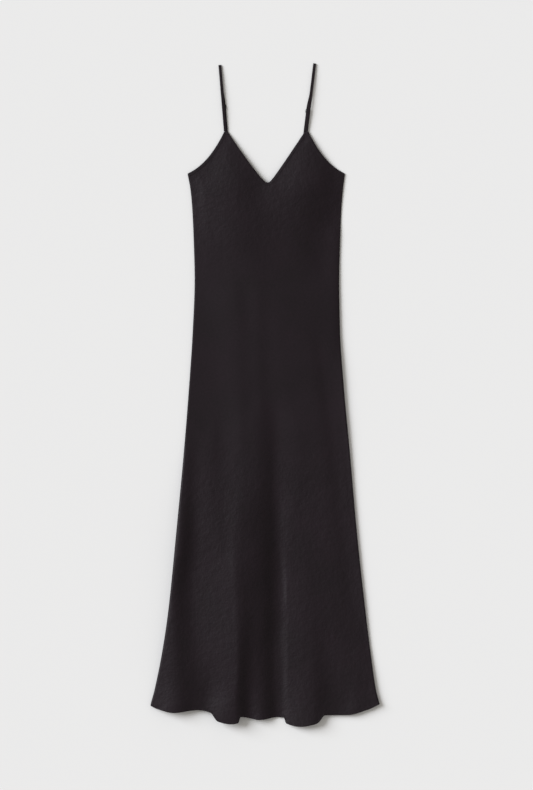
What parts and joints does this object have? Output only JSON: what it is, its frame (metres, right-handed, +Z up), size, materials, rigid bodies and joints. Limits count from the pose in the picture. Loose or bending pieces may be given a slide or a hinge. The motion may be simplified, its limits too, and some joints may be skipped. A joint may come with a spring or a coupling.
{
  "type": "slip dress",
  "caption": "Long bias-cut slip dress with a V neck and narrow adjustable straps, laid flat with its front up and soft folds towards the hem.",
  "frame": {"origin": "on the surface that the dress lies on, under the middle of its outline", "axes": "+Y along the dress towards its straps, +X across it to the right as seen from above, +Z up from the surface"},
  "size_m": [0.5107, 1.4804, 0.0299],
  "materials": {
    "crepe": "soft black crepe with a low sheen and a fine pebbled grain",
    "trim": "bindings and straps of the same black crepe",
    "enamel": "smooth black enamel"
  },
  "bodies": {
    "root": {"front_panel": "crepe", "back_panel": "crepe", "neck_binding": "trim", "armhole_binding_left": "trim", "armhole_binding_right": "trim", "back_binding": "trim", "strap_left": "trim", "strap_right": "trim", "loop_tab_left": "trim", "loop_tab_right": "trim", "slider_left": "enamel", "slider_right": "enamel", "loop_left": "enamel", "loop_right": "enamel"}
  },
  "joints": []
}
